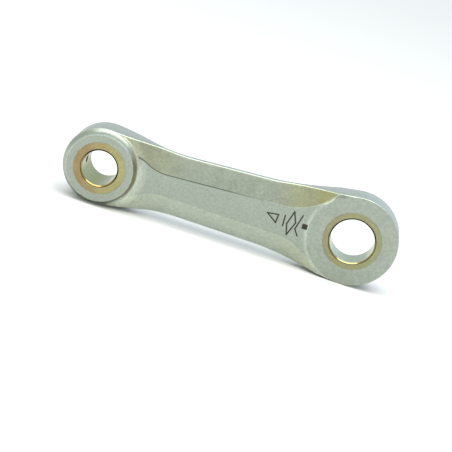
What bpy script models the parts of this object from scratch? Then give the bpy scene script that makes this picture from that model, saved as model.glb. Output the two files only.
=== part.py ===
"""Connecting rod of a small model engine: a machined rod with two pressed-in bushes.

The rod lies along X with its small end at -X, and its pin bores run along Y.  It is
symmetric about Y = 0 and about Z = 0, apart from the oil hole in the small end's tip.
The origin is the middle of the rod's length, on the line through both bores.
"""
from math import asin, atan2, cos, hypot, pi, radians, sin, sqrt, tan

import bmesh
import bpy
from mathutils import Matrix, Vector

# Everything is cut at a thousand times its size, one unit to the millimetre, where the
# booleans are exact enough for it, and each piece is brought down to metres at the end.
METRE_PER_MM = 0.001

# Driving dimensions, in millimetres
CENTRE_DISTANCE = 29.2        # from wrist pin bore to crankpin bore

SMALL_END_WIDTH = 5.0         # over the two boss faces
SMALL_BORE = 4.0              # wrist pin
SMALL_BUSH_WALL = 0.95
BOSS_WALL = 0.88              # aluminium left round the bush
BOSS_CHAMFER = 0.1
BOSS_FILLET = 0.42            # at the foot of the boss
SHOULDER_WIDTH = 0.57         # from the boss out to the outline round the small end
SHOULDER_HEIGHT = 0.04        # of the turned shoulder over the flats of the shank
SHOULDER_MARGIN = 0.06        # the turned shoulder runs this far past the outline
SMALL_FLARE_RISE = 0.34       # the shank climbs this much towards the boss
SMALL_FLARE_RADIUS = 2.0

BIG_BORE = 5.0                # crankpin
BIG_BUSH_WALL = 0.78
BIG_END_WALL = 1.87           # aluminium left round the bush
BIG_FACE_HEIGHT = 0.1         # of each bearing face over the flats of the shank
BIG_RIM = 0.07                # the bearing face stops this far inside the outline
BIG_FLARE_RADIUS = 0.95

SHANK_THICKNESS = 3.0         # between the two flats of the shank
WAIST_FROM_SMALL = 8.2        # from the small bore to the corner of the waist
WAIST_FROM_BIG = 9.7          # from the big bore to the other corner
WAIST_HEIGHT_SMALL = 7.02     # height of the shank at those corners
WAIST_HEIGHT_BIG = 7.84
WAIST_BLEND_RADIUS = 25.0     # rounds both corners

KNIFE_EDGE = 0.66             # width left of the shank's edge at the waist
FACET_HEIGHT = 2.28           # from the edge down to the flat
CUTTER_RADIUS = 7.0           # full radius of the tapered mill that cuts the facets
CUTTER_LIP = 0.03             # its taper reaches this far above the flat
CUTTER_RUN_OUT = 0.12         # the mill stops this far from each end's circle

BUSH_CHAMFER = 0.14           # at both mouths of each bore
PRESS_GAP = 0.03              # round each bush
OIL_HOLE = 0.9

SEGMENTS = 64                 # of a full circle
HOLE_SEGMENTS = 16            # of the oil hole
ARC_STEPS = 4                 # of a fillet or a flare
BLEND_STEPS = 6               # of the rounding at a corner of the waist
BORE_CORE = 0.5               # turned bosses are solid from this share of the bore outwards
OVERCUT = 1.0                 # how far cutters reach past the metal
WELD = 0.0001                 # corners nearer than this are one corner
SHARP_ANGLE = 20              # degrees between two faces with a crisp edge

# Sizes and places that follow from them
SMALL_BUSH_RADIUS = SMALL_BORE / 2 + SMALL_BUSH_WALL
BOSS_RADIUS = SMALL_BUSH_RADIUS + BOSS_WALL
SMALL_END_RADIUS = BOSS_RADIUS + SHOULDER_WIDTH
BIG_BUSH_RADIUS = BIG_BORE / 2 + BIG_BUSH_WALL
BIG_END_RADIUS = BIG_BUSH_RADIUS + BIG_END_WALL
BIG_END_WIDTH = SHANK_THICKNESS + 2 * BIG_FACE_HEIGHT
FLAT = SHANK_THICKNESS / 2
SMALL_FACE = SMALL_END_WIDTH / 2
BIG_FACE = BIG_END_WIDTH / 2
HIGHEST_FACE = max(SMALL_FACE, BIG_FACE)
SMALL_X = -(CENTRE_DISTANCE + BIG_END_RADIUS - SMALL_END_RADIUS) / 2
BIG_X = SMALL_X + CENTRE_DISTANCE


def in_collection(name):
    collection = bpy.data.collections.new(name)
    bpy.context.scene.collection.children.link(collection)
    return collection


def place(name, mesh, collection):
    piece = bpy.data.objects.new(name, mesh)
    collection.objects.link(piece)
    return piece


def make_cutter(piece):
    piece.hide_render = True
    piece.display_type = 'WIRE'
    return piece


def mesh_from(name, geometry):
    mesh = bpy.data.meshes.new(name)
    geometry.to_mesh(mesh)
    geometry.free()
    return mesh


def evaluated_mesh(piece):
    """The mesh that a piece's modifiers or curve settings give, with its place in it."""
    bpy.context.view_layer.update()
    graph = bpy.context.evaluated_depsgraph_get()
    mesh = bpy.data.meshes.new_from_object(piece.evaluated_get(graph))
    mesh.transform(piece.matrix_world)
    return mesh


def boolean(piece, other, operation):
    modifier = piece.modifiers.new(other.name, 'BOOLEAN')
    modifier.operation = operation
    modifier.solver = 'EXACT'
    modifier.object = other


def box(name, size, collection):
    geometry = bmesh.new()
    bmesh.ops.create_cube(geometry, size=1.0)
    bmesh.ops.scale(geometry, vec=size, verts=geometry.verts)
    return place(name, mesh_from(name, geometry), collection)


def cylinder_along_y(name, radius, length, x, collection):
    """Its corners lie half a step off those of the turned faces that it cuts."""
    geometry = bmesh.new()
    half_step = Matrix.Rotation(pi / SEGMENTS, 4, 'Z')
    turn = Matrix.Translation((x, 0, 0)) @ Matrix.Rotation(pi / 2, 4, 'X') @ half_step
    bmesh.ops.create_cone(geometry, cap_ends=True, segments=SEGMENTS, radius1=radius,
                          radius2=radius, depth=length, matrix=turn)
    return make_cutter(place(name, mesh_from(name, geometry), collection))


def turned(name, profile, x, collection):
    """Spin a closed profile of (radius, height) points round the bore axis at x.

    The points run down the outer side and back up the inner one.
    """
    geometry = bmesh.new()
    corners = [geometry.verts.new((radius, 0, height)) for radius, height in profile]
    for first, second in zip(corners, corners[1:] + corners[:1]):
        geometry.edges.new((first, second))
    piece = place(name, mesh_from(name, geometry), collection)
    screw = piece.modifiers.new("spin", 'SCREW')
    screw.angle = 2 * pi
    screw.steps = SEGMENTS
    screw.render_steps = SEGMENTS
    screw.use_merge_vertices = True
    screw.merge_threshold = WELD
    piece.rotation_euler.x = pi / 2
    piece.location.x = x
    return piece


def arc(centre, radius, start, end, steps):
    """Points on an arc, angles in radians, both ends included."""
    return [(centre[0] + radius * cos(start + (end - start) * step / steps),
             centre[1] + radius * sin(start + (end - start) * step / steps))
            for step in range(steps + 1)]


def mirrored_profile(upper):
    """Close a profile whose upper half runs from the bore outwards and down to height 0."""
    lower = [(radius, -height) for radius, height in reversed(upper)]
    return upper + lower


def flare(rise, radius, inner_radius):
    """Arc from a rise above the flat at inner_radius, out to where it dips into the shank."""
    span = sqrt(radius ** 2 - (radius - rise) ** 2)
    centre = (inner_radius + span, FLAT + radius)
    sweep = asin(span / radius)
    start = -pi / 2 - sweep
    points = arc(centre, radius, start, -pi / 2 - sweep / ARC_STEPS, ARC_STEPS - 1)
    dip = rise / ARC_STEPS
    return points + [(centre[0] + dip, FLAT - dip)]


# The rod's outline

def tangent_angle(centre, radius, corner):
    """Angle on the upper side of a circle where a line from the corner touches it."""
    across = corner[0] - centre
    distance = hypot(across, corner[1])
    towards = atan2(corner[1], across)
    spread = pi / 2 - asin(radius / distance)
    return towards + spread if across > 0 else towards - spread


def rounded_corner(before, corner, after, radius):
    """Points that round a corner between two lines which bend by a small angle."""
    first = (Vector(before) - Vector(corner)).normalized()
    second = (Vector(after) - Vector(corner)).normalized()
    half = first.angle(second) / 2
    middle = (first + second).normalized()
    centre = Vector(corner) + middle * radius / sin(half)
    start = Vector(corner) + first * radius / tan(half) - centre
    end = Vector(corner) + second * radius / tan(half) - centre
    return [tuple(centre + start.lerp(end, step / BLEND_STEPS).normalized() * radius)
            for step in range(BLEND_STEPS + 1)]


def waist_corners():
    return ((SMALL_X + WAIST_FROM_SMALL, WAIST_HEIGHT_SMALL / 2),
            (BIG_X - WAIST_FROM_BIG, WAIST_HEIGHT_BIG / 2))


def upper_outline():
    """From the small end's tip over the top to the big end's tip."""
    small_corner, big_corner = waist_corners()
    leaves = tangent_angle(SMALL_X, SMALL_END_RADIUS, small_corner)
    meets = tangent_angle(BIG_X, BIG_END_RADIUS, big_corner)
    round_small = arc((SMALL_X, 0), SMALL_END_RADIUS, pi, leaves, SEGMENTS // 4)
    round_big = arc((BIG_X, 0), BIG_END_RADIUS, meets, 0, SEGMENTS // 4)
    waist = rounded_corner(round_small[-1], small_corner, big_corner, WAIST_BLEND_RADIUS)
    waist += rounded_corner(small_corner, big_corner, round_big[0], WAIST_BLEND_RADIUS)
    return round_small + waist + round_big


def outline_prism(collection):
    """The whole outline as a block wider than the rod, to trim it with."""
    upper = upper_outline()
    lower = [(x, -height) for x, height in reversed(upper[1:-1])]
    shape = bpy.data.curves.new("outline", 'CURVE')
    shape.dimensions = '2D'
    shape.fill_mode = 'BOTH'
    shape.extrude = HIGHEST_FACE + OVERCUT
    spline = shape.splines.new('POLY')
    points = upper + lower
    spline.points.add(len(points) - 1)
    for point, (x, height) in zip(spline.points, points):
        point.co = (x, height, 0, 1)
    spline.use_cyclic_u = True
    drawing = place("outline drawing", shape, collection)
    drawing.rotation_euler.x = pi / 2
    mesh = evaluated_mesh(drawing)
    bpy.data.objects.remove(drawing)
    geometry = bmesh.new()
    geometry.from_mesh(mesh)
    bmesh.ops.remove_doubles(geometry, verts=geometry.verts, dist=WELD)
    bmesh.ops.recalc_face_normals(geometry, faces=geometry.faces)
    geometry.to_mesh(mesh)
    geometry.free()
    return make_cutter(place("outline prism", mesh, collection))


# The facets that thin the shank to a knife edge

def stops_on_path(start, along, end_x, reach):
    """Distance along the mill's path at which it is at reach from an end's centre."""
    to_start = start - Vector((end_x, 0))
    ahead = to_start.dot(along)
    return ahead, sqrt(ahead ** 2 - to_start.length_squared + reach ** 2)


def facet_cutter(name, upward, forward, collection):
    """Swept shape of the tapered mill that cuts one facet, as the hull of its two stops."""
    small_corner, big_corner = (Vector(corner) for corner in waist_corners())
    along = (big_corner - small_corner).normalized()
    outward = Vector((-along.y, along.x))
    start = small_corner + outward * (CUTTER_RADIUS - FACET_HEIGHT)
    small_reach = SMALL_END_RADIUS + SHOULDER_MARGIN + CUTTER_RUN_OUT + CUTTER_RADIUS
    big_reach = BIG_END_RADIUS + CUTTER_RUN_OUT + CUTTER_RADIUS
    ahead, swing = stops_on_path(start, along, SMALL_X, small_reach)
    small_stop = start + along * (swing - ahead)
    ahead, swing = stops_on_path(start, along, BIG_X, big_reach)
    big_stop = start + along * (-swing - ahead)

    taper = FACET_HEIGHT / (FLAT - KNIFE_EDGE / 2)
    full_radius = CUTTER_RADIUS + taper * CUTTER_LIP
    rings = ((full_radius, HIGHEST_FACE + OVERCUT),
             (full_radius, FLAT + CUTTER_LIP),
             (CUTTER_RADIUS - taper * FLAT, 0.0))
    lean = Matrix.Rotation(-atan2(along.y, along.x) * upward, 4, 'Y')
    geometry = bmesh.new()
    for stop in (small_stop, big_stop):
        for radius, depth in rings:
            centre = Matrix.Translation((stop.x, -depth * forward, stop.y * upward))
            turn = Matrix.Rotation(pi / 2, 4, 'X')
            bmesh.ops.create_circle(geometry, cap_ends=False, radius=radius,
                                    segments=SEGMENTS, matrix=centre @ lean @ turn)
    hull = bmesh.ops.convex_hull(geometry, input=geometry.verts)
    spare = {item for item in hull["geom_interior"] + hull["geom_unused"]
             if isinstance(item, bmesh.types.BMVert)}
    bmesh.ops.delete(geometry, geom=list(spare), context='VERTS')
    bmesh.ops.recalc_face_normals(geometry, faces=geometry.faces)
    return make_cutter(place(name, mesh_from(name, geometry), collection))


# The pieces

def small_boss(collection):
    """Turned boss of the small end with its shoulder and the flare of the shank.

    Its fillet shrinks where the boss is too low, or its shoulder too narrow, to hold it.
    """
    inner = SMALL_BORE / 2 * BORE_CORE
    shoulder = SMALL_END_RADIUS + SHOULDER_MARGIN
    level = FLAT + SHOULDER_HEIGHT
    wall_height = SMALL_FACE - BOSS_CHAMFER - level
    fillet = min(BOSS_FILLET, wall_height - SHOULDER_HEIGHT, SHOULDER_WIDTH)
    foot = arc((BOSS_RADIUS + fillet, level + fillet), fillet, pi, 3 * pi / 2, ARC_STEPS)
    climb = flare(SMALL_FLARE_RISE, SMALL_FLARE_RADIUS, shoulder)
    upper = [(inner, SMALL_FACE), (BOSS_RADIUS - BOSS_CHAMFER, SMALL_FACE),
             (BOSS_RADIUS, SMALL_FACE - BOSS_CHAMFER), *foot, (shoulder, level), *climb]
    return make_cutter(turned("small boss", mirrored_profile(upper), SMALL_X, collection))


def big_boss(collection):
    """Turned bearing faces of the big end, a little proud of the shank."""
    inner = BIG_BORE / 2 * BORE_CORE
    climb = flare(BIG_FACE_HEIGHT, BIG_FLARE_RADIUS, BIG_END_RADIUS - BIG_RIM)
    upper = [(inner, BIG_FACE), *climb]
    return make_cutter(turned("big boss", mirrored_profile(upper), BIG_X, collection))


def oil_hole(collection):
    """Drill that enters the tip of the small end and stops in its bore."""
    geometry = bmesh.new()
    length = SMALL_END_RADIUS + OVERCUT
    place_and_turn = (Matrix.Translation((SMALL_X - length / 2, 0, 0))
                      @ Matrix.Rotation(pi / 2, 4, 'Y'))
    bmesh.ops.create_cone(geometry, cap_ends=True, segments=HOLE_SEGMENTS,
                          radius1=OIL_HOLE / 2, radius2=OIL_HOLE / 2, depth=length,
                          matrix=place_and_turn)
    return make_cutter(place("oil hole drill", mesh_from("drill", geometry), collection))


def rod_body(parts, cutters, drill):
    length = SMALL_END_RADIUS + CENTRE_DISTANCE + BIG_END_RADIUS
    height = max(2 * SMALL_END_RADIUS, 2 * BIG_END_RADIUS, WAIST_HEIGHT_SMALL, WAIST_HEIGHT_BIG)
    blank = (length + 2 * OVERCUT, SHANK_THICKNESS, height + 2 * OVERCUT)
    body = box("rod_body", blank, parts)
    boolean(body, small_boss(cutters), 'UNION')
    boolean(body, big_boss(cutters), 'UNION')
    boolean(body, outline_prism(cutters), 'INTERSECT')
    for upward, side in ((1, "upper"), (-1, "lower")):
        for forward, face in ((1, "front"), (-1, "back")):
            cutter = facet_cutter(f"{side} {face} facet", upward, forward, cutters)
            boolean(body, cutter, 'DIFFERENCE')
    through = 2 * (HIGHEST_FACE + OVERCUT)
    for end, radius, x in (("small", SMALL_BUSH_RADIUS, SMALL_X), ("big", BIG_BUSH_RADIUS, BIG_X)):
        bore = cylinder_along_y(f"{end} end bore", radius + PRESS_GAP, through, x, cutters)
        boolean(body, bore, 'DIFFERENCE')
    boolean(body, drill, 'DIFFERENCE')
    return body


def bush(name, bore, wall, width, x, parts):
    """Plain bush, flush with the faces it sits between."""
    inner = bore / 2
    upper = [(inner, width / 2 - BUSH_CHAMFER), (inner + BUSH_CHAMFER, width / 2),
             (inner + wall, width / 2)]
    return turned(name, mirrored_profile(upper), x, parts)


def metal(name, colour, roughness):
    material = bpy.data.materials.new(name)
    material.use_nodes = True
    shader = material.node_tree.nodes["Principled BSDF"]
    shader.inputs["Base Color"].default_value = (*colour, 1)
    shader.inputs["Metallic"].default_value = 1.0
    shader.inputs["Roughness"].default_value = roughness
    return material


def finish(piece, material):
    """Replace a piece by its evaluated mesh in metres, welded, shaded and in its metal."""
    mesh = evaluated_mesh(piece)
    piece.modifiers.clear()
    piece.data = mesh
    piece.matrix_world = Matrix.Identity(4)
    geometry = bmesh.new()
    geometry.from_mesh(mesh)
    bmesh.ops.remove_doubles(geometry, verts=geometry.verts, dist=WELD)
    bmesh.ops.dissolve_degenerate(geometry, edges=geometry.edges, dist=WELD)
    bmesh.ops.scale(geometry, vec=(METRE_PER_MM,) * 3, verts=geometry.verts)
    geometry.to_mesh(mesh)
    geometry.free()
    mesh.shade_smooth()
    mesh.set_sharp_from_angle(angle=radians(SHARP_ANGLE))
    mesh.materials.clear()
    mesh.materials.append(material)


for leftover in list(bpy.data.objects):
    bpy.data.objects.remove(leftover)

rod_parts = in_collection("connecting_rod")
rod_cutters = in_collection("cutters")
small_drill = oil_hole(rod_cutters)

machined_body = rod_body(rod_parts, rod_cutters, small_drill)
wrist_pin_bush = bush("small_end_bush", SMALL_BORE, SMALL_BUSH_WALL, SMALL_END_WIDTH,
                      SMALL_X, rod_parts)
boolean(wrist_pin_bush, small_drill, 'DIFFERENCE')
crankpin_bush = bush("big_end_bush", BIG_BORE, BIG_BUSH_WALL, BIG_END_WIDTH, BIG_X, rod_parts)

finish(machined_body, metal("machined aluminium", (0.62, 0.66, 0.60), 0.35))
finish(wrist_pin_bush, metal("small bush bronze", (0.50, 0.36, 0.12), 0.32))
finish(crankpin_bush, metal("big bush bronze", (0.46, 0.37, 0.15), 0.32))

for cutter in rod_cutters.objects:
    cutter.matrix_world = Matrix.Scale(METRE_PER_MM, 4) @ cutter.matrix_world
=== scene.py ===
from math import asin, atan2, ceil, cos, hypot, pi, radians, sin, sqrt, tan

import bmesh
import bpy
import numpy as np
from mathutils import Matrix, Vector
from mathutils.geometry import delaunay_2d_cdt


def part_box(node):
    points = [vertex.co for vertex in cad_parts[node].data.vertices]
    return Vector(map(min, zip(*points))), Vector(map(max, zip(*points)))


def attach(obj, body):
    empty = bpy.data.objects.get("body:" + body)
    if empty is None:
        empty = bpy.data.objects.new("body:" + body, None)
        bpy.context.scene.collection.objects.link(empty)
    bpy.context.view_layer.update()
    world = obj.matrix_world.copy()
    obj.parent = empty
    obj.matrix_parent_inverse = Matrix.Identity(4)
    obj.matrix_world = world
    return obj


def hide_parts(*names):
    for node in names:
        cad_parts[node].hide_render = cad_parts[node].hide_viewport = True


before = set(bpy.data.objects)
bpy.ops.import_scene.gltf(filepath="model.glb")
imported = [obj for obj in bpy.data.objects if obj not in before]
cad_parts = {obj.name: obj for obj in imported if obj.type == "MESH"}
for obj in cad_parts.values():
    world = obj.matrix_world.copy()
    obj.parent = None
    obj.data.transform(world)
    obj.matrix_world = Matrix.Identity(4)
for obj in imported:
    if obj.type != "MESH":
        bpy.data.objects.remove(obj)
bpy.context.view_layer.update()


# The rod: one bar of aluminium alloy, turned at both ends, milled to a waisted outline,
# thinned to knife edges by a tapered mill and tumbled to a satin grey. It is drawn in
# millimetres, as a plan of x and z with half its thickness over every point.
MM = 0.001

small_low, small_high = (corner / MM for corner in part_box("small_end_bush"))
big_low, big_high = (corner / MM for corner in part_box("big_end_bush"))
rod_low, rod_high = (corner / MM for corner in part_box("rod_body"))

SMALL_X = (small_low.x + small_high.x) / 2
BIG_X = (big_low.x + big_high.x) / 2
SMALL_BUSH_RADIUS = (small_high.x - small_low.x) / 2
BIG_BUSH_RADIUS = (big_high.x - big_low.x) / 2
SMALL_END_RADIUS = SMALL_X - rod_low.x
BIG_END_RADIUS = rod_high.x - BIG_X
SMALL_FACE = small_high.y        # height of each end's face over the middle plane
BIG_FACE = big_high.y

# The small end's boss: a flat face, a rounded rim, and a wall that runs out in a cove
BOSS_WALL = 0.88                 # aluminium left round the bush
BOSS_EDGE = 0.17                 # depth over which the rim is rounded
BOSS_COVE = 1.26                 # the cove's own radius
COVE_CENTRE = 5.07               # and its centre's distance from the bore's axis
FOOT_TURN = radians(80)          # the cove's foot is followed this far to either side
FOOT_BLEND = 0.02                # depth over which its painted sheen and painted shade end there

# The flare between the boss and the shank, which dies away to the sides
SMALL_FLARE_RISE = 0.31
SMALL_FLARE_RADIUS = 2.0
LIP_RADIUS = 4.2                 # it starts to fall this far from the bore's axis
FLARE_REACH = 1.3                # and is level again within this
FLARE_FADES = cos(radians(85))   # turned this far off the shank's line it has gone,
FLARE_FULL = cos(radians(62))    # and up to here it is whole

# The big end's face, which nearly fills its outline, and the flare round it
BIG_RIM = 0.07                   # left between the face and the outline
BIG_FLARE_RADIUS = 0.95
BIG_FLARE_REACH = 0.42
FACE_STEP = 0.03                 # the flare's painted sheen ends this far inside the face

# The shank, waisted between two corners that are rounded
FLAT = 1.5                       # half its thickness
WAIST_FROM_SMALL = 8.2
WAIST_FROM_BIG = 9.7
WAIST_HEIGHT_SMALL = 7.02
WAIST_HEIGHT_BIG = 7.84
WAIST_BLEND_RADIUS = 25.0

# The four facets of the tapered mill, which swings off at both ends
KNIFE_EDGE = 0.66
FACET_HEIGHT = 2.28
SMALL_SWEEP = 4.7                # radius by which it swings off
BIG_SWEEP = 7.0
SMALL_RUN_OUT = 0.29             # how far it stays clear of each end's outline
BIG_RUN_OUT = 0.12
CUTTER_LIP = 0.16                # its taper reaches this far above the flats
PAINTED_DARK_UNTIL = 13.0              # where a facet starts, a painted dark reflection lines it up to here
PAINTED_HIGHLIGHT_FROM = 21.0            # from the small bore, and a painted highlight lines it from here on
PAINTED_LINE_WIDTH = 1.5              # half the painted line's width, in widths of a rounded ridge

# What tumbling and fitting have done to the edges, and where painted highlight and sheen lie
OUTER_EDGE = 0.11                # rounding along the outline
RIDGE_BLEND = 0.02               # depth by which the facets' ridges are rounded
RIM_HIGHLIGHT = 0.12                   # width of the painted highlight on either side of the boss's rim
FLARE_SPREAD = 0.35              # the smaller, the further a flare's painted sheen reaches out
PRESS_SEAM = 0.004               # round each bush
BORE_EDGE = 0.012                # the bores' edges are broken this much

# Painted light: brown painted shade in the cove, yellow painted reflection and painted sheen on the
# facets
COVE_SHADE_DEPTH = 0.15               # from the boss's rim to where the painted brown shade is full
COVE_SHADE_FULL, COVE_SHADE_GONE = radians(22), radians(52)    # off the shank's line
REFLECTION_FULL, REFLECTION_GONE = 4.0, 11.0                   # from the nearer bore
SMALL_END_REFLECTION = 0.6            # the big end has 1 more than this
LOWER_REFLECTION = 0.3                # of what the upper facets have
UPPER_PAINTED_SHEEN = 0.75               # painted sheen on the upper facets
LOWER_PAINTED_SHEEN = 1.35               # and on the lower ones, which face the lit floor

# How close the mesh's points are
GRAIN = 0.1                      # along every line of the plan
FIELD = 0.3                      # between the lines
MERGE = 0.002                    # points closer than this become one
EDGE_LINES = 6                   # round the quarter turn of the outline's edge
RIM_LINES = 9                    # across the painted highlight on the boss's rim
HALVINGS = 24                    # steps in which the cove's foot is closed in on,
SETTLINGS = 40                   # and in which each facet's ridge is

BOSS_RADIUS = SMALL_BUSH_RADIUS + BOSS_WALL
COVE_HEIGHT = SMALL_FACE + sqrt(BOSS_COVE ** 2 - (COVE_CENTRE - BOSS_RADIUS) ** 2)
FACE_RADIUS = BIG_END_RADIUS - BIG_RIM
TAPER = FACET_HEIGHT / (FLAT - KNIFE_EDGE / 2)
RIDGE_WIDTH = RIDGE_BLEND * TAPER


def arc(centre, radius, start, end, spacing=GRAIN):
    """Points along an arc, both ends included."""
    steps = max(2, ceil(abs(end - start) * radius / spacing))
    turn = np.linspace(start, end, steps + 1)
    return np.column_stack((centre[0] + radius * np.cos(turn), centre[1] + radius * np.sin(turn)))


def straight(start, end, spacing=GRAIN):
    """Points between two ends, neither of them included."""
    steps = max(2, ceil(hypot(end[0] - start[0], end[1] - start[1]) / spacing))
    share = np.linspace(0, 1, steps + 1)[1:-1, None]
    return (1 - share) * np.asarray(start) + share * np.asarray(end)


def tangent_angle(centre_x, radius, corner):
    """Angle on the upper side of a circle where a line from the corner touches it."""
    across = corner[0] - centre_x
    towards = atan2(corner[1], across)
    spread = pi / 2 - asin(radius / hypot(across, corner[1]))
    return towards + spread if across > 0 else towards - spread


def waist_rounding(before, corner, after):
    """Points along the arc that rounds a corner of the waist."""
    first = (Vector(before) - Vector(corner)).normalized()
    second = (Vector(after) - Vector(corner)).normalized()
    half = first.angle(second) / 2
    centre = Vector(corner) + (first + second).normalized() * WAIST_BLEND_RADIUS / sin(half)
    start = Vector(corner) + first * WAIST_BLEND_RADIUS / tan(half) - centre
    end = Vector(corner) + second * WAIST_BLEND_RADIUS / tan(half) - centre
    return arc(centre, WAIST_BLEND_RADIUS, atan2(start.y, start.x), atan2(end.y, end.x))


small_corner = (SMALL_X + WAIST_FROM_SMALL, WAIST_HEIGHT_SMALL / 2)
big_corner = (BIG_X - WAIST_FROM_BIG, WAIST_HEIGHT_BIG / 2)
leaves = tangent_angle(SMALL_X, SMALL_END_RADIUS, small_corner)
meets = tangent_angle(BIG_X, BIG_END_RADIUS, big_corner)
round_small = arc((SMALL_X, 0), SMALL_END_RADIUS, pi, leaves)
round_big = arc((BIG_X, 0), BIG_END_RADIUS, meets, 0)
waist_small = waist_rounding(round_small[-1], small_corner, big_corner)
waist_big = waist_rounding(small_corner, big_corner, round_big[0])
upper_outline = np.vstack((
    round_small, straight(round_small[-1], waist_small[0]),
    waist_small, straight(waist_small[-1], waist_big[0]),
    waist_big, straight(waist_big[-1], round_big[0]), round_big))
outline = np.vstack((upper_outline, upper_outline[-2:0:-1] * (1, -1)))


def from_outline(plan):
    """Distance inwards from the outline."""
    found = np.full(len(plan), np.inf)
    ends = np.roll(outline, -1, axis=0)
    for start, end in zip(outline, ends):
        line = end - start
        offset = plan - start
        share = np.clip(offset @ line / (line @ line), 0, 1)
        found = np.minimum(found, np.linalg.norm(offset - share[:, None] * line, axis=1))
    return found


def inside_outline(plan):
    """Whether plan points lie on the rod, its bores included."""
    level = np.interp(plan[:, 0], upper_outline[:, 0], upper_outline[:, 1])
    in_shank = np.abs(plan[:, 1]) < level
    small = np.hypot(plan[:, 0] - SMALL_X, plan[:, 1]) < SMALL_END_RADIUS
    big = np.hypot(plan[:, 0] - BIG_X, plan[:, 1]) < BIG_END_RADIUS
    between = (plan[:, 0] > SMALL_X) & (plan[:, 0] < BIG_X)
    return (in_shank & between) | small | big


# The mill's way along the upper facets; the lower ones are its mirror image
along = (Vector(big_corner) - Vector(small_corner)).normalized()
outward = Vector((-along.y, along.x))


def sweep_centre(end_x, clear, sweep, side):
    """Centre of the arc on which the mill swings off, clear of an end by this radius."""
    start = Vector(small_corner) + outward * (sweep - FACET_HEIGHT) - Vector((end_x, 0))
    ahead = start.dot(along)
    swing = sqrt(ahead ** 2 - start.length_squared + (clear + sweep) ** 2)
    return start + Vector((end_x, 0)) + along * (side * swing - ahead)


small_stop = sweep_centre(SMALL_X, SMALL_END_RADIUS + SMALL_RUN_OUT, SMALL_SWEEP, 1)
big_stop = sweep_centre(BIG_X, BIG_END_RADIUS + BIG_RUN_OUT, BIG_SWEEP, -1)


def milled_height(plan):
    """Half thickness that the mill's taper leaves over the upper facets."""
    from_small, from_big = plan - np.array(small_stop), plan - np.array(big_stop)
    from_axis = plan - (SMALL_X, 0)
    to_stop = np.array(small_stop) - (SMALL_X, 0)
    beyond = -from_small @ np.array(outward) - SMALL_SWEEP
    at_small = from_small @ np.array(along) < 0
    at_big = from_big @ np.array(along) > 0
    beyond[at_small] = np.linalg.norm(from_small[at_small], axis=1) - SMALL_SWEEP
    beyond[at_big] = np.linalg.norm(from_big[at_big], axis=1) - BIG_SWEEP
    round_boss = to_stop[0] * from_axis[:, 1] > to_stop[1] * from_axis[:, 0]
    clear = SMALL_END_RADIUS + SMALL_RUN_OUT - np.linalg.norm(from_axis[round_boss], axis=1)
    beyond[round_boss] = np.maximum(clear, beyond[round_boss].clip(max=-FACET_HEIGHT))
    height = FLAT + beyond / TAPER
    height[height > FLAT + CUTTER_LIP] = np.inf
    return height


def flare(radius, start, rise, blend):
    """Height over the flats of a concave arc that falls from rise at start to nothing."""
    span = sqrt(blend ** 2 - (blend - rise) ** 2)
    left = np.clip(start + span - radius, 0, span)
    return blend - np.sqrt(blend ** 2 - left ** 2)


def smooth_step(value, low, high):
    """0 below low and 1 above high, with a smooth rise between them."""
    share = np.clip((value - low) / (high - low), 0, 1)
    return share * share * (3 - 2 * share)


def smooth_lower(first, second, blend):
    """The lower of two heights, with the ridge between them rounded."""
    near = np.clip(1 - np.abs(first - second) / blend, 0, 1)
    return np.minimum(first, second) - near ** 2 * blend / 4


def small_flare(plan):
    """Height over the flats of the flare that runs out of the boss into the shank."""
    small = np.hypot(plan[:, 0] - SMALL_X, plan[:, 1])
    shankward = smooth_step((plan[:, 0] - SMALL_X) / small, FLARE_FADES, FLARE_FULL)
    return shankward * flare(small, LIP_RADIUS, SMALL_FLARE_RISE, SMALL_FLARE_RADIUS)


def cove(radius):
    """Half thickness of the small end's boss: a flat face, a rounded rim and a cove."""
    inwards = np.clip(COVE_CENTRE - radius, 0, COVE_CENTRE - BOSS_RADIUS + BOSS_EDGE)
    wall = COVE_HEIGHT - np.sqrt(np.clip(BOSS_COVE ** 2 - inwards ** 2, 0, None))
    return smooth_lower(np.full(len(radius), SMALL_FACE), wall, BOSS_EDGE)


def ground(plan):
    """Half thickness of the flats with their flares and the big end's face."""
    big = np.hypot(plan[:, 0] - BIG_X, plan[:, 1])
    height = FLAT + small_flare(plan)
    height = np.maximum(height, FLAT + flare(big, FACE_RADIUS, BIG_FACE - FLAT, BIG_FLARE_RADIUS))
    return np.where(big <= FACE_RADIUS, BIG_FACE, height)


def turned_height(plan):
    """Half thickness before the facets are milled."""
    return np.maximum(ground(plan), cove(np.hypot(plan[:, 0] - SMALL_X, plan[:, 1])))


def half_thickness(plan):
    """Height of the finished surface over the middle plane."""
    height = turned_height(plan)
    for side in (1, -1):
        height = smooth_lower(height, milled_height(plan * (1, side)), RIDGE_BLEND)
    for centre_x, bush_radius in ((SMALL_X, SMALL_BUSH_RADIUS), (BIG_X, BIG_BUSH_RADIUS)):
        radius = np.hypot(plan[:, 0] - centre_x, plan[:, 1])
        height -= np.clip(bush_radius + PRESS_SEAM + BORE_EDGE - radius, 0, BORE_EDGE)
    short = OUTER_EDGE - np.clip(from_outline(plan), 0, OUTER_EDGE)
    return height - OUTER_EDGE + np.sqrt(OUTER_EDGE ** 2 - short ** 2)


def off_boss(plan):
    """1 past the boss's cove, 0 on it."""
    small = np.hypot(plan[:, 0] - SMALL_X, plan[:, 1])
    return smooth_step(ground(plan) - cove(small), -FOOT_BLEND, FOOT_BLEND)


def painted_ridge_line(plan):
    """Where an upper facet starts: 1 for painted dark reflection, -1 for painted highlight."""
    away = np.abs(turned_height(plan) - milled_height(plan)) * TAPER
    line = np.clip(PAINTED_LINE_WIDTH - away / RIDGE_WIDTH, 0, 1) * (from_outline(plan) > OUTER_EDGE)
    shine = smooth_step(plan[:, 0] - SMALL_X, PAINTED_DARK_UNTIL, PAINTED_HIGHLIGHT_FROM)
    return line * (1 - 2 * shine)


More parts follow.
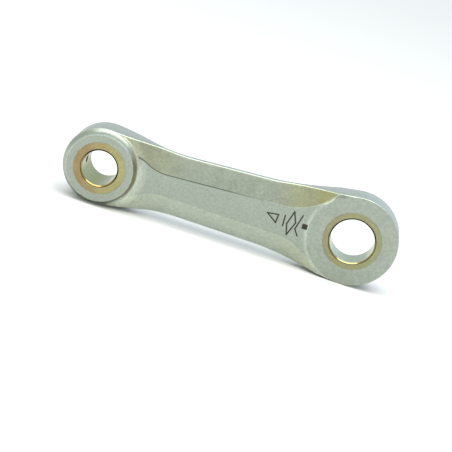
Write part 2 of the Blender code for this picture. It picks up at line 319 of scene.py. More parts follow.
def facets(plan, upper_only=False):
    """1 on the milled facets, 0 elsewhere."""
    lower, upper = milled_height(plan * (1, -1)), milled_height(plan)
    milled = upper if upper_only else np.minimum(lower, upper)
    inner = smooth_step(from_outline(plan), 0, OUTER_EDGE)
    return smooth_step(turned_height(plan) - milled, 0, 2 * RIDGE_BLEND) * inner


def facet_painted_sheen(plan):
    """How much painted sheen the facets get; the lower ones, facing the lit floor, get more."""
    return LOWER_PAINTED_SHEEN * facets(plan) + (UPPER_PAINTED_SHEEN - LOWER_PAINTED_SHEEN) * facets(plan, True)


def facet_painted_reflection(plan):
    """How much painted yellow reflection the facets get: near the ends only, most at the big one.
    """
    from_end = np.minimum(plan[:, 0] - SMALL_X, BIG_X - plan[:, 0])
    on_facets = LOWER_REFLECTION * facets(plan) + (1 - LOWER_REFLECTION) * facets(plan, True)
    near_end = 1 - smooth_step(from_end, REFLECTION_FULL, REFLECTION_GONE)
    return on_facets * near_end * (SMALL_END_REFLECTION + smooth_step(plan[:, 0], SMALL_X, BIG_X))


def flare_painted_sheen(plan):
    """Painted sheen: 1 at the foot of each end's concave flare, fading towards the flats."""
    big = np.hypot(plan[:, 0] - BIG_X, plan[:, 1])
    by_big = flare(big, FACE_RADIUS, BIG_FACE - FLAT, BIG_FLARE_RADIUS) / (BIG_FACE - FLAT)
    by_big[big < FACE_RADIUS] = 0
    by_small = small_flare(plan) / SMALL_FLARE_RISE * off_boss(plan)
    return (by_small + by_big) ** FLARE_SPREAD * smooth_step(from_outline(plan), 0, OUTER_EDGE)


def cove_painted_shade(plan):
    """Painted brown shade: 1 in the middle of the cove on the shank's side."""
    across = plan - (SMALL_X, 0)
    small = np.hypot(across[:, 0], across[:, 1])
    inside = smooth_step(small, BOSS_RADIUS, BOSS_RADIUS + COVE_SHADE_DEPTH) * (1 - off_boss(plan))
    turn = np.arctan2(np.abs(across[:, 1]), across[:, 0])
    return inside * (1 - smooth_step(turn, COVE_SHADE_FULL, COVE_SHADE_GONE))


def edge_painted_highlight(plan):
    """Painted highlight: 1 along the outline's rounded edge and the boss's rim, 0 elsewhere."""
    small = np.hypot(plan[:, 0] - SMALL_X, plan[:, 1])
    rim = np.clip(1 - np.abs(small - BOSS_RADIUS) / RIM_HIGHLIGHT, 0, 1)
    along_outline = np.sin(pi * np.clip(from_outline(plan) / OUTER_EDGE, 0, 1))
    return np.maximum(rim, along_outline)


def cove_foot():
    """Line in the plan along which the boss's cove meets the flare and the flats."""
    turn = np.linspace(-FOOT_TURN, FOOT_TURN, ceil(2 * FOOT_TURN * SMALL_END_RADIUS / GRAIN))
    spokes = np.column_stack((np.cos(turn), np.sin(turn)))
    near, far = np.full(len(turn), BOSS_RADIUS), np.full(len(turn), SMALL_END_RADIUS + 1)
    for _ in range(HALVINGS):
        middle = (near + far) / 2
        on_boss = cove(middle) > ground(spokes * middle[:, None] + (SMALL_X, 0))
        near, far = np.where(on_boss, middle, near), np.where(on_boss, far, middle)
    foot = spokes * near[:, None] + (SMALL_X, 0)
    return foot[inside_outline(foot)]


def ridge(offset, side):
    """Line in the plan along which a facet meets the turned surface, moved by offset."""
    lean = atan2(along.y, along.x)
    to_stop = small_stop - Vector((SMALL_X, 0))
    towards = atan2(to_stop.y, to_stop.x)
    clear = SMALL_END_RADIUS + SMALL_RUN_OUT
    round_boss = arc((0, 0), 1, FOOT_TURN, towards, GRAIN / clear)[:-1]
    swings_in = arc((0, 0), 1, towards - pi, lean - pi / 2, GRAIN / SMALL_SWEEP)
    swings_out = arc((0, 0), 1, lean - pi / 2, lean, GRAIN / BIG_SWEEP)
    last = big_stop - outward * (BIG_SWEEP - SMALL_SWEEP)
    middle = straight(small_stop, last)
    parts = ((np.repeat([(SMALL_X, 0)], len(round_boss), axis=0), round_boss, clear, -1),
             (np.repeat([small_stop], len(swings_in), axis=0), swings_in, SMALL_SWEEP, 1),
             (middle, np.repeat([-np.array(outward)], len(middle), axis=0), SMALL_SWEEP, 1),
             (np.repeat([big_stop], len(swings_out), axis=0), swings_out, BIG_SWEEP, 1))
    line = []
    for hubs, spokes, sweep, sense in parts:
        reach = np.full(len(hubs), sweep)
        for _ in range(SETTLINGS):
            met = hubs + spokes * reach[:, None]
            reach = (reach + sweep + sense * TAPER * (turned_height(met) - FLAT)) / 2
        line.append(hubs + spokes * (reach + sense * offset)[:, None])
    return np.vstack(line) * (1, side)


def rings(centre_x, radii):
    """Whole circles in the plan round one bore, with points at the same angles on each."""
    closest = GRAIN / max(radii)
    circles = [arc((centre_x, 0), radius, 0, 2 * pi, closest * radius) for radius in radii]
    return [np.vstack((circle[:-1], circle[:1])) for circle in circles]


def plan_lines():
    """Every line of the plan that the mesh's edges follow, apart from the marks."""
    lines = []
    tangents = np.roll(outline, -1, axis=0) - np.roll(outline, 1, axis=0)
    tangents /= np.linalg.norm(tangents, axis=1)[:, None]
    inwards = np.column_stack((tangents[:, 1], -tangents[:, 0]))
    for turn in np.linspace(0, pi / 2, EDGE_LINES):
        inset = OUTER_EDGE * (1 - cos(turn))
        lines.append(np.vstack((outline + inwards * inset, outline[:1] + inwards[:1] * inset)))
    for side in (1, -1):
        for widths in (-2, -1, -0.5, 0, 0.5, 1, 2):
            lines.append(ridge(widths * RIDGE_WIDTH, side))
    small = [SMALL_BUSH_RADIUS + PRESS_SEAM, SMALL_BUSH_RADIUS + PRESS_SEAM + BORE_EDGE]
    small += list(BOSS_RADIUS + RIM_HIGHLIGHT * np.linspace(-1, 1, RIM_LINES))
    small += list(np.arange(BOSS_RADIUS + RIM_HIGHLIGHT + GRAIN / 2, LIP_RADIUS + FLARE_REACH, GRAIN / 2))
    lines.append(cove_foot())
    big = [BIG_BUSH_RADIUS + PRESS_SEAM, BIG_BUSH_RADIUS + PRESS_SEAM + BORE_EDGE]
    big += [FACE_RADIUS - FACE_STEP, FACE_RADIUS]
    big += list(np.linspace(FACE_RADIUS, FACE_RADIUS + BIG_FLARE_REACH, EDGE_LINES)[1:])
    return lines + rings(SMALL_X, small) + rings(BIG_X, big)


def field_points():
    """Staggered points that fill the plan between its lines."""
    across = np.arange(rod_low.x, rod_high.x, FIELD)
    up = np.arange(rod_low.z, rod_high.z, FIELD)
    grid = np.array([(x + FIELD / 2 * (row % 2), z) for row, z in enumerate(up) for x in across])
    return grid[inside_outline(grid)]


# Plain marks etched on the flats beside the big end: a triangle, a bar, a lozenge with
# a tick, and a square. Each stroke runs between two places measured from the square,
# along and across the shank.
STROKE = 0.16
MARKED = 5.5                     # the square's middle stands this far from the big bore
SQUARE = 0.31                    # half the square's side
SQUARE_RAISED = 0.05             # over the shank's middle line
mark_strokes = [
    ((-4.40, 0.40), (-3.15, 0.54)), ((-3.15, 0.54), (-3.24, -0.44)),
    ((-3.24, -0.44), (-4.40, 0.40)),
    ((-2.40, 0.66), (-2.40, -0.54)),
    ((-1.52, 1.38), (-2.02, -0.20)), ((-2.02, -0.20), (-1.72, -1.42)),
    ((-1.72, -1.42), (-1.08, 0.16)), ((-1.08, 0.16), (-1.52, 1.38)),
    ((-0.50, 1.22), (-0.98, -0.52)), ((-0.98, -0.52), (-0.52, -1.22))]


def stroke_outline(start, end):
    """Closed outline of one stroke, as points in the plan."""
    half = (Vector(end) - Vector(start)).normalized() * STROKE / 2
    side = Vector((-half.y, half.x))
    middle = Vector((BIG_X - MARKED, 0))
    tail, tip = middle + (Vector(start) - half), middle + (Vector(end) + half)
    corners = [tail + side, tip + side, tip - side, tail - side]
    return np.array([tuple(corner) for corner in corners + corners[:1]])


def square_outline():
    """Closed outline of the square mark."""
    corners = [(-SQUARE, -SQUARE), (SQUARE, -SQUARE), (SQUARE, SQUARE), (-SQUARE, SQUARE)]
    return np.array(corners + corners[:1]) + (BIG_X - MARKED, SQUARE_RAISED)


marks = [stroke_outline(*stroke) for stroke in mark_strokes] + [square_outline()]


def inside_convex(plan, loop):
    """Whether plan points lie in a convex loop, whichever way round it runs."""
    sides = np.diff(loop, axis=0)
    offset = plan[:, None] - loop[:-1]
    turn = sides[:, 0] * offset[:, :, 1] - sides[:, 1] * offset[:, :, 0]
    return (turn > 0).all(axis=1) | (turn < 0).all(axis=1)


def plan_mesh():
    """Points and triangles of the plan, with the two bores left open."""
    lines = plan_lines() + marks
    points, edges = [], []
    for line in lines:
        first = len(points)
        points += [Vector(point) for point in line]
        edges += [(first + step, first + step + 1) for step in range(len(line) - 1)]
    points += [Vector(point) for point in field_points()]
    corners, _, faces, *_ = delaunay_2d_cdt(points, edges, [], 0, MERGE)
    plan = np.array([tuple(corner) for corner in corners])
    middles = plan[np.array(faces)].mean(axis=1)
    kept = inside_outline(middles)
    kept &= np.hypot(middles[:, 0] - SMALL_X, middles[:, 1]) > SMALL_BUSH_RADIUS + PRESS_SEAM
    kept &= np.hypot(middles[:, 0] - BIG_X, middles[:, 1]) > BIG_BUSH_RADIUS + PRESS_SEAM
    return plan, [face for face, keep in zip(faces, kept) if keep]


# Front and back are the plan, moved out by half the thickness, with a wall from the one
# to the other along every edge that has a face on one side only
plan, plan_faces = plan_mesh()
used = sorted({corner for face in plan_faces for corner in face})
renumber = {corner: place for place, corner in enumerate(used)}
plan = plan[used]
plan_faces = [[renumber[corner] for corner in face] for face in plan_faces]
height = half_thickness(plan)
count = len(plan)
places = [(x, -y, z) for (x, z), y in zip(plan, height)]
places += [(x, y, z) for (x, z), y in zip(plan, height)]
shell = plan_faces + [[corner + count for corner in face] for face in plan_faces]
rims = {}
for face in plan_faces:
    for corner, following in zip(face, face[1:] + face[:1]):
        if rims.pop((following, corner), None) is None:
            rims[corner, following] = True
shell += [(corner, following, following + count, corner + count) for corner, following in rims]


def in_scene(name, mesh):
    """A new object of this mesh, in the scene."""
    thing = bpy.data.objects.new(name, mesh)
    bpy.context.scene.collection.objects.link(thing)
    return thing


def settle(thing):
    """Put what a piece's modifiers make in its mesh, and clear them."""
    bpy.context.view_layer.update()
    graph = bpy.context.evaluated_depsgraph_get()
    thing.data = bpy.data.meshes.new_from_object(thing.evaluated_get(graph))
    thing.modifiers.clear()


rod_mesh = bpy.data.meshes.new("rod")
rod_mesh.from_pydata(places, [], shell)
middles = plan[np.array(plan_faces)].mean(axis=1)
etched = np.any([inside_convex(middles, mark) for mark in marks], axis=0)
rod_mesh.polygons.foreach_set("material_index",
                              np.pad(etched.astype(int), (0, len(shell) - len(etched))))
for finish, measure in (("painted_ridge_line", painted_ridge_line), ("facet", facet_painted_sheen), ("bright", flare_painted_sheen),
                        ("edge_highlight", edge_painted_highlight), ("cove_shade", cove_painted_shade), ("stain_and_reflection", facet_painted_reflection)):
    values = np.tile(measure(plan), 2)
    rod_mesh.attributes.new(finish, 'FLOAT', 'POINT').data.foreach_set("value", values)
geometry = bmesh.new()
geometry.from_mesh(rod_mesh)
bmesh.ops.recalc_face_normals(geometry, faces=geometry.faces)
geometry.to_mesh(rod_mesh)
geometry.free()

# The oil hole is drilled through the tip of the small end, into its bore
OIL_HOLE = 0.9
DRILL_SIDES = 48

drill_mesh = bpy.data.meshes.new("drill")
geometry = bmesh.new()
bmesh.ops.create_cone(geometry, cap_ends=True, segments=DRILL_SIDES, radius1=OIL_HOLE / 2,
                      radius2=OIL_HOLE / 2, depth=2 * SMALL_END_RADIUS,
                      matrix=Matrix.Translation((SMALL_X - SMALL_END_RADIUS, 0, 0))
                      @ Matrix.Rotation(pi / 2, 4, 'Y'))
geometry.to_mesh(drill_mesh)
geometry.free()
drill = in_scene("drill", drill_mesh)

rod = in_scene("rod", rod_mesh)
for slot in ("tumbled", "etched"):
    rod.data.materials.append(bpy.data.materials.new(slot))
rod.modifiers.new("oil hole", 'BOOLEAN').object = drill
settle(rod)
rod.data.transform(Matrix.Scale(MM, 4))
rod.data.shade_smooth()
rod.data.set_sharp_from_angle(angle=radians(30))
rod.modifiers.new("even shading", 'WEIGHTED_NORMAL').keep_sharp = True
settle(rod)


def add(tree, kind, settings={}, inputs={}):
    """A new node with its settings, and with a value or a link on each input that is given.

    A colour mix names its sockets alike, so they go by number: 6 and 7 in, 2 out.
    """
    node = tree.nodes.new(kind)
    for name, value in settings.items():
        setattr(node, name, value)
    for name, value in inputs.items():
        if isinstance(value, bpy.types.NodeSocket):
            tree.links.new(value, node.inputs[name])
        else:
            node.inputs[name].default_value = value
    return node


def linear(hex_code):
    """An sRGB colour, turned to linear."""
    channels = (int(hex_code[place:place + 2], 16) / 255 for place in (1, 3, 5))
    return (*(c / 12.92 if c <= 0.04045 else ((c + 0.055) / 1.055) ** 2.4 for c in channels), 1)


def new_material(name):
    """A new material, its node tree and its shader."""
    material = bpy.data.materials.new(name)
    material.use_nodes = True
    return material, material.node_tree, material.node_tree.nodes["Principled BSDF"]


# Tumbled aluminium: vibrated in grit after milling, so it is a satin grey with a fine
# speckle. Painted sheen brightens the facets and flares, painted highlight the edges, and a
# painted dark reflection and highlight the facets' lines; the cove has a painted brown
# shade and the ends of the facets a painted yellow reflection.
CLEAN, DULL = "#b1b9ad", "#9ba395"
REFLECTED_YELLOW, COVE_SHADE_TONE = "#aaa878", "#988a6c"
PEEN = 0.25                      # mm between the grit's dimples, coarser than real to show
MOTTLE = 1.6                     # mm between slightly cleaner and duller patches
DIMPLE = 0.02                    # mm deep
FACET_PAINTED_SHEEN = 0.22               # what each painted sheen or highlight adds to the metal's brightness
FLARE_PAINTED_SHEEN = 0.46
EDGE_PAINTED_HIGHLIGHT = 0.4
PAINTED_LINE_HIGHLIGHT, PAINTED_LINE_SHADE = 1.5, 0.3    # times the brightness: painted highlight and painted dark reflection on the facets' lines
COVE_SHADE_COVER = 0.75                     # how far the painted brown shade covers the metal
NOISE_LOW, NOISE_HIGH = 0.3, 0.7    # nearly all of a noise lies between these


def tumbled_aluminium():
    material, tree, shader = new_material("tumbled aluminium")
    place = add(tree, "ShaderNodeTexCoord").outputs["Object"]
    in_mm = add(tree, "ShaderNodeVectorMath", {"operation": 'SCALE'}, {0: place, "Scale": 1 / MM})
    peen = add(tree, "ShaderNodeTexNoise", {}, {
        "Vector": in_mm.outputs[0], "Scale": 1 / PEEN, "Detail": 3.0, "Roughness": 0.6})
    mottle = add(tree, "ShaderNodeTexNoise", {}, {
        "Vector": in_mm.outputs[0], "Scale": 1 / MOTTLE, "Detail": 3.0, "Roughness": 0.6})
    tone = add(tree, "ShaderNodeMix", {"data_type": 'RGBA'}, {
        "Factor": mottle.outputs["Fac"], 6: linear(DULL), 7: linear(CLEAN)})
    speck = add(tree, "ShaderNodeMapRange", {}, {
        "Value": peen.outputs["Fac"], "From Min": NOISE_LOW, "From Max": NOISE_HIGH,
        "To Min": 0.86, "To Max": 1.12})
    # Painted dark reflection along the facets' lines near the small end, painted highlight further
    # on
    line = add(tree, "ShaderNodeAttribute", {"attribute_name": "painted_ridge_line"})
    lined = add(tree, "ShaderNodeMapRange", {}, {
        "Value": line.outputs["Fac"], "From Min": -1.0, "From Max": 1.0,
        "To Min": PAINTED_LINE_HIGHLIGHT, "To Max": PAINTED_LINE_SHADE})
    # Painted sheen on the facets and flares raises the brightness
    facet = add(tree, "ShaderNodeAttribute", {"attribute_name": "facet"})
    bright = add(tree, "ShaderNodeAttribute", {"attribute_name": "bright"})
    with_facet_sheen = add(tree, "ShaderNodeMath", {"operation": 'MULTIPLY_ADD'}, {
        0: facet.outputs["Fac"], 1: FACET_PAINTED_SHEEN, 2: 1.0})
    with_flare_sheen = add(tree, "ShaderNodeMath", {"operation": 'MULTIPLY_ADD'}, {
        0: bright.outputs["Fac"], 1: FLARE_PAINTED_SHEEN, 2: with_facet_sheen.outputs[0]})
    edge_highlight = add(tree, "ShaderNodeAttribute", {"attribute_name": "edge_highlight"})
    with_edge_highlight = add(tree, "ShaderNodeMath", {"operation": 'MULTIPLY_ADD'}, {
        0: edge_highlight.outputs["Fac"], 1: EDGE_PAINTED_HIGHLIGHT, 2: with_flare_sheen.outputs[0]})
    # The brightness with the painted sheen, painted highlight and painted lines all in it
    cut = add(tree, "ShaderNodeMath", {"operation": 'MULTIPLY'}, {
        0: with_edge_highlight.outputs[0], 1: lined.outputs[0]})
    shade = add(tree, "ShaderNodeMath", {"operation": 'MULTIPLY'}, {
        0: speck.outputs[0], 1: cut.outputs[0]})
    # Painted yellow reflection at the ends of the facets
    stain_and_reflection = add(tree, "ShaderNodeAttribute", {"attribute_name": "stain_and_reflection"})
    yellow = add(tree, "ShaderNodeMath", {"operation": 'MULTIPLY'}, {
        0: stain_and_reflection.outputs["Fac"], 1: mottle.outputs["Fac"]})
    warm = add(tree, "ShaderNodeMix", {"data_type": 'RGBA'}, {
        "Factor": yellow.outputs[0], 6: tone.outputs[2], 7: linear(REFLECTED_YELLOW)})
    # Painted brown shade in the cove
    cove_shade = add(tree, "ShaderNodeAttribute", {"attribute_name": "cove_shade"})
    cove_shaded = add(tree, "ShaderNodeMath", {"operation": 'MULTIPLY'}, {
        0: cove_shade.outputs["Fac"], 1: COVE_SHADE_COVER})
    browned = add(tree, "ShaderNodeMix", {"data_type": 'RGBA'}, {
        "Factor": cove_shaded.outputs[0], 6: warm.outputs[2], 7: linear(COVE_SHADE_TONE)})
    tinted = add(tree, "ShaderNodeVectorMath", {"operation": 'SCALE'}, {
        0: browned.outputs[2], "Scale": shade.outputs[0]})
    tree.links.new(tinted.outputs[0], shader.inputs["Base Color"])
    dull = add(tree, "ShaderNodeMapRange", {}, {
        "Value": mottle.outputs["Fac"], "From Min": NOISE_LOW, "From Max": NOISE_HIGH,
        "To Min": 0.30, "To Max": 0.38})
    tree.links.new(dull.outputs[0], shader.inputs["Roughness"])
    bump = add(tree, "ShaderNodeBump", {}, {
        "Strength": 0.12, "Distance": DIMPLE * MM, "Height": peen.outputs["Fac"]})
    tree.links.new(bump.outputs[0], shader.inputs["Normal"])
    shader.inputs["Metallic"].default_value = 1.0
    return material


# Etched aluminium: burnt by the marking current, so it is dark, brownish and matt
def etched_aluminium():
    material, tree, shader = new_material("etched aluminium")
    shader.inputs["Base Color"].default_value = linear("#332f24")
    shader.inputs["Roughness"].default_value = 0.75
    return material


rod.data.materials[0] = tumbled_aluminium()
rod.data.materials[1] = etched_aluminium()
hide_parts("rod_body")
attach(rod, "root")


# The two bushes, for the wrist pin and the crankpin. Each is a ring of bearing bronze,
# turned, pressed in flush and reamed to its pin's size. The small one has the other end
# of the oil hole in it.
SMALL_BORE = 4.0
BIG_BORE = 5.0
MOUTH_CHAMFER = 0.17             # at both ends of the bore
BUSH_EDGE = 0.012                # the outer edges are only broken
BUSH_SIDES = 256


def turned_bush():
    """Tree for a ring round Y: a rectangle with cut corners, swept round a circle."""
    tree = bpy.data.node_groups.new("turned bush", 'GeometryNodeTree')
    face = tree.interface
    for name in ("Bore Radius", "Outer Radius", "Width", "Mouth Chamfer", "Outer Edge"):
        face.new_socket(name, in_out='INPUT', socket_type='NodeSocketFloat')
    face.new_socket("Sides", in_out='INPUT', socket_type='NodeSocketInt')
    face.new_socket("Place", in_out='INPUT', socket_type='NodeSocketVector')
    face.new_socket("Metal", in_out='INPUT', socket_type='NodeSocketMaterial')
    face.new_socket("Geometry", in_out='OUTPUT', socket_type='NodeSocketGeometry')
    size = add(tree, "NodeGroupInput").outputs
    wall = add(tree, "ShaderNodeMath", {"operation": 'SUBTRACT'}, {
        0: size["Outer Radius"], 1: size["Bore Radius"]})
    both = add(tree, "ShaderNodeMath", {"operation": 'ADD'}, {
        0: size["Outer Radius"], 1: size["Bore Radius"]})
    middle = add(tree, "ShaderNodeMath", {"operation": 'MULTIPLY'}, {0: both.outputs[0], 1: 0.5})
    section = add(tree, "GeometryNodeCurvePrimitiveQuadrilateral", {}, {
        "Width": wall.outputs[0], "Height": size["Width"]})
    position = add(tree, "GeometryNodeInputPosition").outputs[0]
    across = add(tree, "ShaderNodeSeparateXYZ", {}, {0: position})
    at_bore = add(tree, "FunctionNodeCompare", {"operation": 'LESS_THAN'}, {
        0: across.outputs["X"], 1: 0.0})
    cut = add(tree, "GeometryNodeSwitch", {"input_type": 'FLOAT'}, {
        "Switch": at_bore.outputs[0], "False": size["Outer Edge"], "True": size["Mouth Chamfer"]})
    broken = add(tree, "GeometryNodeFilletCurve", {"mode": 'POLY'}, {
        "Curve": section.outputs[0], "Radius": cut.outputs[0], "Count": 1})
    circle = add(tree, "GeometryNodeCurvePrimitiveCircle", {}, {
        "Resolution": size["Sides"], "Radius": middle.outputs[0]})
    ring = add(tree, "GeometryNodeCurveToMesh", {}, {
        "Curve": circle.outputs["Curve"], "Profile Curve": broken.outputs[0]})
    moved = add(tree, "GeometryNodeTransform", {}, {
        "Geometry": ring.outputs[0], "Translation": size["Place"], "Rotation": (pi / 2, 0, 0)})
    real = add(tree, "GeometryNodeRealizeInstances", {}, {0: moved.outputs[0]})
    coated = add(tree, "GeometryNodeSetMaterial", {}, {
        "Geometry": real.outputs[0], "Material": size["Metal"]})
    add(tree, "NodeGroupOutput", {}, {"Geometry": coated.outputs[0]})
    return tree


bush_tree = turned_bush()


def bush(name, node, x, bore, outer_radius, width, metal):
    """A bush for one end, in the place of its CAD node."""
    thing = in_scene(name, bpy.data.meshes.new(name))
    modifier = thing.modifiers.new("turned bush", 'NODES')
    modifier.node_group = bush_tree
    sizes = {"Bore Radius": bore / 2, "Outer Radius": outer_radius, "Width": width,
             "Mouth Chamfer": MOUTH_CHAMFER, "Outer Edge": BUSH_EDGE, "Sides": BUSH_SIDES,
             "Place": (x, 0, 0), "Metal": metal}
    for socket in bush_tree.interface.items_tree:
        if socket.in_out == 'INPUT':
            modifier[socket.identifier] = sizes[socket.name]
    settle(thing)
    geometry = bmesh.new()
    geometry.from_mesh(thing.data)
    bmesh.ops.recalc_face_normals(geometry, faces=geometry.faces)
    geometry.to_mesh(thing.data)
    geometry.free()
    if node == "small_end_bush":
        thing.modifiers.new("oil hole", 'BOOLEAN').object = drill
        settle(thing)
    thing.data.transform(Matrix.Scale(MM, 4))
    thing.data.shade_smooth()
    thing.data.set_sharp_from_angle(angle=radians(30))
    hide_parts(node)
    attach(thing, "root")
    return thing


# Bearing bronze, turned and reamed: a satin face, browner towards one side and greener
# towards the other, a polished bore that mirrors its surroundings, and at its mouth a bright
# chamfer inside a thin dark ring.
STAIN = 2.2                      # mm between browner and greener patches
SIDE_SHIFT = 0.45                # how much one side is browner than the other
STEP = 0.01                      # mm over which one tone turns to the next
MOUTH_STARTS = 0.015             # mm from the bore's wall to the chamfer's bright part
RING_STARTS = 0.7 * MOUTH_CHAMFER
FACE_STARTS = MOUTH_CHAMFER + 0.02


def bearing_bronze(name, centre_x, bore_radius, outer_radius, tones):
    material, tree, shader = new_material(name)
    place = add(tree, "ShaderNodeTexCoord").outputs["Object"]
    in_mm = add(tree, "ShaderNodeVectorMath", {"operation": 'SCALE'}, {0: place, "Scale": 1 / MM})
    from_axis = add(tree, "ShaderNodeVectorMath", {"operation": 'MULTIPLY_ADD'}, {
        0: in_mm.outputs[0], 1: (1, 0, 1), 2: (-centre_x, 0, 0)})
    radius = add(tree, "ShaderNodeVectorMath", {"operation": 'LENGTH'}, {0: from_axis.outputs[0]})
    stain_and_reflection = add(tree, "ShaderNodeTexNoise", {}, {
        "Vector": in_mm.outputs[0], "Scale": 1 / STAIN, "Detail": 3.0, "Roughness": 0.6})
    sideways = add(tree, "ShaderNodeSeparateXYZ", {}, {0: from_axis.outputs[0]})
    turned = add(tree, "ShaderNodeMapRange", {}, {
        "Value": sideways.outputs["X"], "From Min": -outer_radius, "From Max": outer_radius,
        "To Min": -SIDE_SHIFT, "To Max": SIDE_SHIFT})
    mottled = add(tree, "ShaderNodeMapRange", {}, {
        "Value": stain_and_reflection.outputs["Fac"], "From Min": NOISE_LOW, "From Max": NOISE_HIGH})
    spread = add(tree, "ShaderNodeMath", {"operation": 'ADD', "use_clamp": True}, {
        0: turned.outputs[0], 1: mottled.outputs[0]})
    face = add(tree, "ShaderNodeMix", {"data_type": 'RGBA'}, {
        "Factor": spread.outputs[0], 6: linear(tones["browned"]), 7: linear(tones["face"])})
    tone = linear(tones["bore"])
    for starts, further_out in ((MOUTH_STARTS, linear(tones["mouth"])),
                                (RING_STARTS, linear(tones["ring"])),
                                (FACE_STARTS, face.outputs[2])):
        past = add(tree, "ShaderNodeMapRange", {}, {
            "Value": radius.outputs["Value"], "From Min": bore_radius + starts - STEP,
            "From Max": bore_radius + starts + STEP})
        layered = add(tree, "ShaderNodeMix", {"data_type": 'RGBA'}, {
            "Factor": past.outputs[0], 6: tone, 7: further_out})
        tone = layered.outputs[2]
    grit = add(tree, "ShaderNodeTexNoise", {}, {
        "Vector": in_mm.outputs[0], "Scale": 1 / PEEN, "Detail": 2.0, "Roughness": 0.6})
    speck = add(tree, "ShaderNodeMapRange", {}, {
        "Value": grit.outputs["Fac"], "From Min": NOISE_LOW, "From Max": NOISE_HIGH,
        "To Min": 0.9, "To Max": 1.1})
    specked = add(tree, "ShaderNodeVectorMath", {"operation": 'SCALE'}, {
        0: tone, "Scale": speck.outputs[0]})
    tree.links.new(specked.outputs[0], shader.inputs["Base Color"])
    mouth = bore_radius + MOUTH_CHAMFER
    dull = add(tree, "ShaderNodeMapRange", {}, {
        "Value": radius.outputs["Value"], "From Min": mouth - STEP, "From Max": mouth + STEP,
        "To Min": 0.2, "To Max": 0.36})
    tree.links.new(dull.outputs[0], shader.inputs["Roughness"])
    shader.inputs["Metallic"].default_value = 1.0
    return material


small_tones = {"face": "#a8a274", "browned": "#9a8560", "bore": "#707838", "mouth": "#a89260",
               "ring": "#3c3420"}
big_tones = {"face": "#969872", "browned": "#969270", "bore": "#88967a", "mouth": "#a89c68",
             "ring": "#3a3424"}
small_bronze = bearing_bronze("wrist pin bush bronze", SMALL_X, SMALL_BORE / 2,
                              SMALL_BUSH_RADIUS, small_tones)
big_bronze = bearing_bronze("crankpin bush bronze", BIG_X, BIG_BORE / 2,
                            BIG_BUSH_RADIUS, big_tones)
small_bush = bush("wrist_pin_bush", "small_end_bush", SMALL_X, SMALL_BORE, SMALL_BUSH_RADIUS,
                  2 * SMALL_FACE, small_bronze)
big_bush = bush("crankpin_bush", "big_end_bush", BIG_X, BIG_BORE, BIG_BUSH_RADIUS,
                2 * BIG_FACE, big_bronze)
bpy.data.objects.remove(drill)


# The studio: a sheet of white paper under the rod, which stands on its edge with both
# ends touching, a large soft lamp overhead, and a light tent that is open in front.
FLOOR = 3.0                      # metres from its middle to each side
sink = asin((BIG_END_RADIUS - SMALL_END_RADIUS) / (BIG_X - SMALL_X))
floor_mesh = bpy.data.meshes.new("floor")
geometry = bmesh.new()
bmesh.ops.create_grid(geometry, x_segments=1, y_segments=1, size=FLOOR)
geometry.to_mesh(floor_mesh)
geometry.free()
floor = in_scene("floor", floor_mesh)
floor.rotation_euler.y = sink
floor.location = (SMALL_X * MM, 0, -SMALL_END_RADIUS / cos(sink) * MM)


# White paper: matt all over, without a sheen
def white_paper():
    material, tree, shader = new_material("white paper")
    shader.inputs["Base Color"].default_value = linear("#f3f3f3")
    shader.inputs["Roughness"].default_value = 0.9
    shader.inputs["Specular IOR Level"].default_value = 0.0
    return material


floor_mesh.materials.append(white_paper())

LAMP_FORWARD, LAMP_HEIGHT = 0.08, 0.25
lamp = bpy.data.objects.new("overhead lamp", bpy.data.lights.new("overhead lamp", 'AREA'))
bpy.context.scene.collection.objects.link(lamp)
lamp.data.shape = 'RECTANGLE'
lamp.data.size = 0.34
lamp.data.size_y = 0.18
lamp.data.energy = 0.58
lamp.location = (0.0, -LAMP_FORWARD, LAMP_HEIGHT)
lamp.rotation_euler = (atan2(-LAMP_FORWARD, LAMP_HEIGHT), 0, 0)


# The tent's cloth is brighter behind the rod than in front, and bluer to the right, and
# the opening in front of it shows the darker room. These are brightnesses, not colours of
# a surface, so some are over 1.
TENT_FRONT = (0.84, 0.86, 0.81, 1)
TENT_BACK_LEFT, TENT_BACK_RIGHT = (0.98, 1.04, 1.08, 1), (1.16, 1.30, 1.50, 1)
ROOM = (0.30, 0.30, 0.26, 1)
OPENING = (0.05, -0.98, 0.18)    # the way towards its middle
OPENING_EDGE, OPENING_FULL = cos(radians(26)), cos(radians(8))


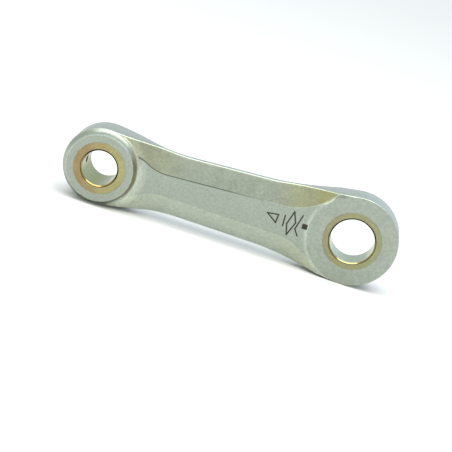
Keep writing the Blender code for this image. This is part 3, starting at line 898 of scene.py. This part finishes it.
def light_tent():
    world = bpy.data.worlds.new("light tent")
    world.use_nodes = True
    tree = world.node_tree
    way = add(tree, "ShaderNodeTexCoord").outputs["Generated"]
    part = add(tree, "ShaderNodeSeparateXYZ", {}, {0: way})
    back = add(tree, "ShaderNodeMapRange", {"interpolation_type": 'SMOOTHSTEP'}, {
        "Value": part.outputs["Y"], "From Min": -0.3, "From Max": 0.8})
    rightward = add(tree, "ShaderNodeMapRange", {"interpolation_type": 'SMOOTHSTEP'}, {
        "Value": part.outputs["X"], "From Min": -0.5, "From Max": 0.5})
    behind = add(tree, "ShaderNodeMix", {"data_type": 'RGBA'}, {
        "Factor": rightward.outputs[0], 6: TENT_BACK_LEFT, 7: TENT_BACK_RIGHT})
    wall = add(tree, "ShaderNodeMix", {"data_type": 'RGBA'}, {
        "Factor": back.outputs[0], 6: TENT_FRONT, 7: behind.outputs[2]})
    facing = add(tree, "ShaderNodeVectorMath", {"operation": 'DOT_PRODUCT'}, {
        0: way, 1: OPENING})
    opening = add(tree, "ShaderNodeMapRange", {"interpolation_type": 'SMOOTHSTEP'}, {
        "Value": facing.outputs["Value"], "From Min": OPENING_EDGE, "From Max": OPENING_FULL})
    tent = add(tree, "ShaderNodeMix", {"data_type": 'RGBA'}, {
        "Factor": opening.outputs[0], 6: wall.outputs[2], 7: ROOM})
    tree.links.new(tent.outputs[2], tree.nodes["Background"].inputs["Color"])
    return world


bpy.context.scene.world = light_tent()

# The camera, which looks at a point between the two ends, a little rolled
AZIMUTH, ELEVATION, ROLL = radians(3.012), radians(17.642), radians(-15.808)
AIM = Vector((0.217, 0, -2.973)) * MM
DISTANCE = 158.05 * MM
forward = Vector((-sin(AZIMUTH) * cos(ELEVATION), cos(AZIMUTH) * cos(ELEVATION), -sin(ELEVATION)))
level = forward.cross(Vector((0, 0, 1))).normalized()
upright = level.cross(forward)
right = level * cos(ROLL) - upright * sin(ROLL)
up = upright * cos(ROLL) + level * sin(ROLL)
camera = bpy.data.objects.new("camera", bpy.data.cameras.new("camera"))
bpy.context.scene.collection.objects.link(camera)
camera.matrix_world = (Matrix.Translation(AIM - forward * DISTANCE)
                       @ Matrix((right, up, -forward)).transposed().to_4x4())
camera.data.lens = 111.504
camera.data.sensor_width = 36.0
camera.data.clip_start = 0.001
bpy.context.scene.camera = camera
bpy.context.scene.view_settings.view_transform = "Standard"
